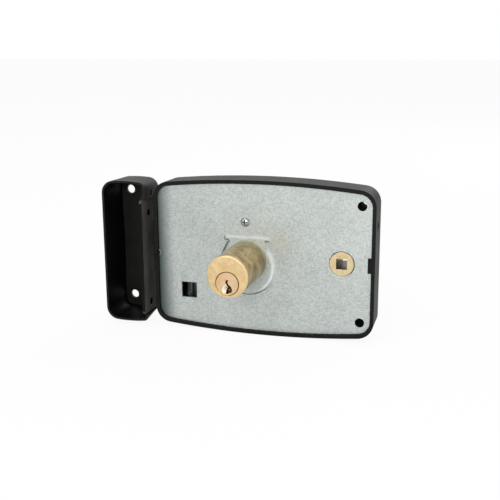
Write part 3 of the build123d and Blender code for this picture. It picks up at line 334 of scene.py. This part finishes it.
def powder_coat(name, dark, light, rough=0.50, gloss=0.12, edge=rgb(74, 75, 73), centre=None, front=None):
    """Satin black coating with a fine orange peel, worn edges, painted light on faces that look up, and
    painted shade on inner walls and inside holes.

    centre is the middle of a cover, whose walls get painted shade where they look at it; front is the
    colour of a plate's edge that looks out of the door face, painted darker as shade, and with it the
    sharp edges take the edge colour in full, a painted shadow line on the strike.
    """
    t = Tree(name)
    clouds = t.noise(60.0, detail=4.0)
    peel = t.noise(1500.0, detail=2.0, rough=0.4)
    dust = t.spread(t.noise(5200.0, detail=2.0), 0.66, 0.74)
    colour = t.blend(t.spread(clouds, 0.35, 0.65), dark, light)
    colour = t.blend(t.both(dust, 0.2), colour, edge)
    # With a front, that face gets painted shade and the sharp edges a full line of the edge colour, a
    # painted shadow line on the strike; else the edges show light wear
    if front:
        colour = t.blend(t.facing_out(), colour, front)
        wear_and_painted_light = t.worn_edge(0.60)
    else:
        wear_and_painted_light = t.both(t.worn_edge(0.30), t.spread(clouds, 0.40, 0.60, 0.15, 0.60))
    colour = t.blend(wear_and_painted_light, colour, edge)
    # Painted light: faces that look up are lighter
    colour = t.blend(t.spread(t.facing("Z"), 0.5, 0.9, 0.0, 0.6), colour, rgb(58, 58, 56))
    # Painted shade on the walls that look at the cover's middle
    if centre:
        colour = t.blend(t.facing_in(centre), colour, rgb(3, 3, 2))
    # Painted shade inside the holes, made matt too
    hole_shades = [t.within(t.off_line(place), SCREW_RADIUS) for place in SCREW_AXES]
    if front:
        hole_shades += [t.within(t.off_line(place, "X"), STRIKE_HOLE_RADIUS) for place in STRIKE_HOLES]
    if centre == CASE_CENTRE:
        right_wall = t.step(t.along("X"), SIDE_WALL, SIDE_WALL + 0.1)
        hole_shades.append(t.both(t.within(t.off_line(SIDE_HOLE, "X"), SIDE_HOLE_RADIUS), right_wall))
    finish = t.spread(t.sum(clouds, peel), 0.7, 1.3, rough - 0.05, rough + 0.07)
    for inside in hole_shades:
        colour = t.blend(inside, colour, rgb(4, 4, 4))
        finish = t.sum(finish, inside, "MAXIMUM")
    normal = t.bumps(peel, 0.03, 0.5, t.soft_edge(0.30))
    return t.finish(Base_Color=colour, Metallic=0.0, Roughness=finish, Normal=normal,
                    Specular_IOR_Level=gloss)


def cylinder_brass():
    """Turned brass: a bright face with fine turning rings, and a dull handled side, with a painted
    reflection of the plate near its foot, painted shade in the gap round the plug and a painted highlight
    on the face's chamfer.
    """
    t = Tree("cylinder_brass")
    stains = t.noise(110.0, detail=6.0, rough=0.60, distortion=0.2)
    second = t.noise(70.0, detail=4.0, vector=t.stretched(shift=(0.3, 0.1, 0.7)), distortion=0.2)
    fine = t.noise(900.0, detail=4.0)
    side = t.blend(t.spread(stains, 0.36, 0.66), rgb(238, 212, 160), rgb(146, 124, 78))
    side = t.blend(t.spread(second, 0.45, 0.72, 0.0, 0.5), side, rgb(214, 164, 106))
    side = t.blend(t.spread(fine, 0.35, 0.70, 0.0, 0.35), side, rgb(112, 98, 62))
    side = t.blend(t.step(t.along("Y"), *TARNISH_Y, 0.0, 0.60), side, rgb(104, 104, 70))
    # Painted reflection of the plate on the side near the cylinder's foot
    side = t.blend(t.step(t.along("Y"), *FOOT_REFLECTION_Y, 0.0, 0.65), side, rgb(196, 186, 146))
    mottle = t.noise(260.0, detail=5.0)
    face = t.blend(t.spread(mottle, 0.35, 0.65), rgb(226, 200, 152), rgb(208, 178, 128))
    face = t.blend(t.spread(fine, 0.55, 0.75, 0.0, 0.4), face, rgb(196, 166, 116))
    # Painted shade in the gap round the plug
    gap_shade = t.step(t.off_line(PLUG_AXIS), PLUG_RADIUS + 0.20, PLUG_RADIUS + 0.50, 0.75, 0.0)
    face = t.blend(gap_shade, face, rgb(112, 84, 52))
    colour = t.blend(t.facing_out(), side, face)
    # Painted highlight on the face's chamfer
    chamfer_highlight = t.both(t.within(t.along("Y"), CYLINDER_FACE + CYLINDER_EDGE + 0.1),
                     t.step(t.off_line((0.0, 0.0)), CYLINDER_ROUND, CYLINDER_ROUND + 0.2))
    colour = t.blend(chamfer_highlight, colour, rgb(228, 202, 154))
    rough = t.sum(t.spread(stains, 0.3, 0.7, 0.28, 0.44), t.spread(fine, 0.3, 0.7, -0.03, 0.05))
    rings = t.nodes.new("ShaderNodeTexWave")
    rings.wave_type = "RINGS"
    rings.rings_direction = "Y"
    rings.inputs["Scale"].default_value = 900.0
    rings.inputs["Distortion"].default_value = 0.6
    t.links.new(t.place.outputs["Object"], rings.inputs["Vector"])
    normal = t.bumps(rings.outputs["Fac"], 0.006, 0.35, t.soft_edge(0.25))
    normal = t.bumps(fine, 0.012, 0.4, normal)
    return t.finish(Base_Color=colour, Metallic=1.0, Roughness=rough, Normal=normal)


def brass(name, light, dark, scale=220.0, rough=0.32, axis=None, rim=0.0, hole=0.0, keyed=False):
    """Brass with cloudy tarnish and fine handling marks.

    Round an axis it has painted shade at its rim, and inside its hole or, where keyed, a painted
    highlight on one side of the keyway's mouth and painted shade on the other.
    """
    t = Tree(name)
    stains = t.noise(scale, detail=5.0, rough=0.6)
    fine = t.noise(1800.0, detail=3.0)
    colour = t.blend(t.spread(stains, 0.35, 0.68), light, dark)
    colour = t.blend(t.spread(fine, 0.5, 0.75, 0.0, 0.35), colour, dark)
    if axis:
        distance = t.off_line(axis)
        walls = t.spread(t.facing_out(), 0.0, 1.0, 1.0, 0.0)
        # Painted shade at the rim, where the part meets the one round it
        colour = t.blend(t.step(distance, rim - 0.35, rim - 0.10, 0.0, 0.70), colour, rgb(96, 70, 46))
    if hole:
        # Painted shade inside the hole
        colour = t.blend(t.both(t.within(distance, hole), walls), colour, rgb(84, 64, 50))
    if keyed:
        # Painted highlight on the left of the keyway's mouth, painted shade on the right
        mouth = t.within(t.along("Y"), CYLINDER_FACE + FUNNEL_DEEP + 0.1)
        middle = t.within(distance, 0.9 * rim, 0.1 * rim)
        wear_and_painted_light = t.blend(t.step(t.along("X"), *FUNNEL_SPLIT), rgb(255, 246, 226), rgb(40, 26, 18))
        colour = t.blend(t.both(walls, mouth, middle), colour, wear_and_painted_light)
    finish = t.sum(t.spread(stains, 0.3, 0.7, rough - 0.06, rough + 0.10),
                   t.spread(fine, 0.3, 0.7, -0.03, 0.04))
    normal = t.bumps(fine, 0.012, 0.5, t.soft_edge(0.20))
    return t.finish(Base_Color=colour, Metallic=1.0, Roughness=finish, Normal=normal)


def steel(name, light, dark, stretch=(1.0, 1.0, 1.0), rough=0.30, scale=700.0, axis=None, rim=0.0):
    """Plated or drawn steel with a grain along one axis and faint rubbed patches.

    A screw head round an axis has painted shade at its rim and in its cross recess.
    """
    t = Tree(name)
    grain = t.noise(scale, detail=4.0, vector=t.stretched(scale=stretch))
    patches = t.noise(90.0, detail=3.0)
    tone = t.sum(t.spread(grain, 0.3, 0.7, 0.0, 0.6), t.spread(patches, 0.3, 0.7, 0.0, 0.4))
    colour = t.blend(tone, dark, light)
    if axis:
        distance = t.off_line(axis)
        # Painted shade at the head's rim and in its cross recess
        ring = t.step(distance, rim - 0.6, rim - 0.2, 0.0, 0.85)
        recess_shade = t.both(t.step(distance, 0.66 * rim, 0.72 * rim, 0.85, 0.0),
                        t.step(t.along("Y"), RECESS_FLOOR, RECESS_FLOOR + 0.05))
        colour = t.blend(t.sum(ring, recess_shade, "MAXIMUM"), colour, rgb(38, 40, 38))
    finish = t.sum(t.spread(grain, 0.3, 0.7, rough - 0.05, rough + 0.08),
                   t.spread(patches, 0.3, 0.7, -0.03, 0.05))
    normal = t.bumps(grain, 0.01, 0.4, t.soft_edge(0.18))
    return t.finish(Base_Color=colour, Metallic=1.0, Roughness=finish, Normal=normal)


BLACK = powder_coat("case_coat", rgb(11, 12, 10), rgb(18, 19, 17), centre=CASE_CENTRE)
DULL_BRASS = brass("cap_metal", rgb(168, 160, 132), rgb(120, 112, 84), rough=0.5)
SCREW_LOOK = steel("plate_screw_zinc", rgb(206, 210, 208), rgb(156, 160, 158), rough=0.34,
                   axis=PLATE_SCREW, rim=PLATE_SCREW_RADIUS)
# A darker steel for the guide bracket
DARK_BRACKET_STEEL = steel("bracket_grain", rgb(112, 118, 116), rgb(64, 69, 68), rough=0.42,
                    stretch=(1.0, 1.0, 0.05))
BY_SLOT = {
    "case_black": BLACK,
    "keeper_black": powder_coat("keeper_coat", rgb(11, 12, 8), rgb(18, 19, 15), gloss=0.15,
                                centre=KEEPER_CENTRE),
    # The strike's black edge colour is a painted shadow line along its edges
    "strike_black": powder_coat("strike_coat", rgb(72, 74, 71), rgb(84, 86, 83), rough=0.70, gloss=0.04,
                                edge=rgb(4, 4, 3), front=rgb(20, 21, 18)),
    "galvanised": galvanised(),
    "zinc_screw": steel("zinc_plate", rgb(196, 200, 198), rgb(140, 144, 142), rough=0.34),
    "rivet_steel": steel("rivet_head", rgb(176, 178, 176), rgb(128, 130, 128), rough=0.34),
    "bolt_steel": steel("bolt_grain", rgb(206, 206, 202), rgb(164, 165, 162), stretch=(0.06, 1.0, 1.0)),
    "spring_steel": steel("spring_wire", rgb(150, 152, 152), rgb(96, 98, 98), rough=0.30, scale=1200.0),
    "brass": cylinder_brass(),
    "plug_brass": brass("plug_metal", rgb(230, 198, 158), rgb(208, 172, 130),
                        axis=PLUG_AXIS, rim=PLUG_RADIUS, keyed=True),
    "pin_brass": brass("pin_metal", rgb(214, 186, 128), rgb(176, 146, 92)),
    "knob_brass": brass("knob_metal", rgb(218, 192, 138), rgb(176, 150, 104), scale=120.0),
    "follower_brass": brass("follower_metal", rgb(218, 202, 164), rgb(192, 168, 126), scale=320.0,
                            axis=FOLLOWER_AXIS, rim=FOLLOWER_RADIUS, hole=FOLLOWER_HOLE),
}
for node in NODES.values():
    for slot in node.material_slots:
        slot.material = BY_SLOT[slot.material.name]
for name, look in (("edge_rivet", BLACK), ("strike_rivets", BLACK), ("chamber_caps", DULL_BRASS),
                   ("guide_bracket", DARK_BRACKET_STEEL), ("plate_screw", SCREW_LOOK)):
    for slot in NODES[name].material_slots:
        slot.material = look

scene = bpy.context.scene
scene.view_settings.view_transform = "Standard"

# The floor: white where it is seen or reflected, and it keeps a soft shadow
half = FLOOR_HALF
floor_z = cad_box[0][2]
floor_mesh = bpy.data.meshes.new("floor")
floor_mesh.from_pydata(
    [(-half, -half, floor_z), (half, -half, floor_z), (half, half, floor_z), (-half, half, floor_z)],
    [], [(0, 1, 2, 3)])
floor = bpy.data.objects.new("floor", floor_mesh)
scene.collection.objects.link(floor)


def seen_or_reflected(nodes, links):
    """1 for rays from the camera, off gloss or through glass."""
    path = nodes.new("ShaderNodeLightPath")
    value = path.outputs["Is Camera Ray"]
    for name in ("Is Glossy Ray", "Is Transmission Ray"):
        add = nodes.new("ShaderNodeMath")
        add.operation = "MAXIMUM"
        links.new(value, add.inputs[0])
        links.new(path.outputs[name], add.inputs[1])
        value = add.outputs["Value"]
    return value


floor_look = bpy.data.materials.new("floor_white")
floor_look.use_nodes = True
tree = floor_look.node_tree
tree.nodes.clear()
output = tree.nodes.new("ShaderNodeOutputMaterial")
matt = tree.nodes.new("ShaderNodeBsdfDiffuse")
matt.inputs["Color"].default_value = (FLOOR_WHITE, FLOOR_WHITE, FLOOR_WHITE, 1.0)
glow = tree.nodes.new("ShaderNodeEmission")
glow.inputs["Strength"].default_value = 1.0
mix = tree.nodes.new("ShaderNodeMixShader")
share = tree.nodes.new("ShaderNodeMath")
share.operation = "MULTIPLY"
share.inputs[1].default_value = 1.0 - FLOOR_SHADOW
tree.links.new(seen_or_reflected(tree.nodes, tree.links), share.inputs[0])
tree.links.new(share.outputs["Value"], mix.inputs["Fac"])
tree.links.new(matt.outputs["BSDF"], mix.inputs[1])
tree.links.new(glow.outputs["Emission"], mix.inputs[2])
tree.links.new(mix.outputs["Shader"], output.inputs["Surface"])
floor_mesh.materials.append(floor_look)

# The world: white behind the object, softer as light
world = bpy.data.worlds.new("studio")
scene.world = world
world.use_nodes = True
tree = world.node_tree
tree.nodes.clear()
output = tree.nodes.new("ShaderNodeOutputWorld")
background = tree.nodes.new("ShaderNodeBackground")
background.inputs["Color"].default_value = (1.0, 1.0, 1.0, 1.0)
level = tree.nodes.new("ShaderNodeMapRange")
level.inputs["To Min"].default_value = AMBIENT
level.inputs["To Max"].default_value = 1.0
tree.links.new(seen_or_reflected(tree.nodes, tree.links), level.inputs["Value"])
tree.links.new(level.outputs["Result"], background.inputs["Strength"])
tree.links.new(background.outputs["Background"], output.inputs["Surface"])


def lamp(name, watts, size, at):
    """A soft square lamp aimed at the lock."""
    data = bpy.data.lights.new(name, "AREA")
    data.energy = watts
    data.size = size
    obj = bpy.data.objects.new(name, data)
    scene.collection.objects.link(obj)
    aim(obj, at, LIGHT_AIM)


lamp("key_light", KEY_WATTS, KEY_SIZE, KEY_AT)
lamp("top_light", TOP_WATTS, TOP_SIZE, TOP_AT)
lamp("side_light", SIDE_WATTS, SIDE_SIZE, SIDE_AT)
lamp("back_light", BACK_WATTS, BACK_SIZE, BACK_AT)

camera_data = bpy.data.cameras.new("camera")
camera_data.lens = LENS
camera_data.sensor_width = SENSOR
camera_data.clip_start = 0.01
camera = bpy.data.objects.new("camera", camera_data)
scene.collection.objects.link(camera)
aim(camera, CAMERA_AT, CAMERA_AIM, CAMERA_ROLL)
scene.camera = camera
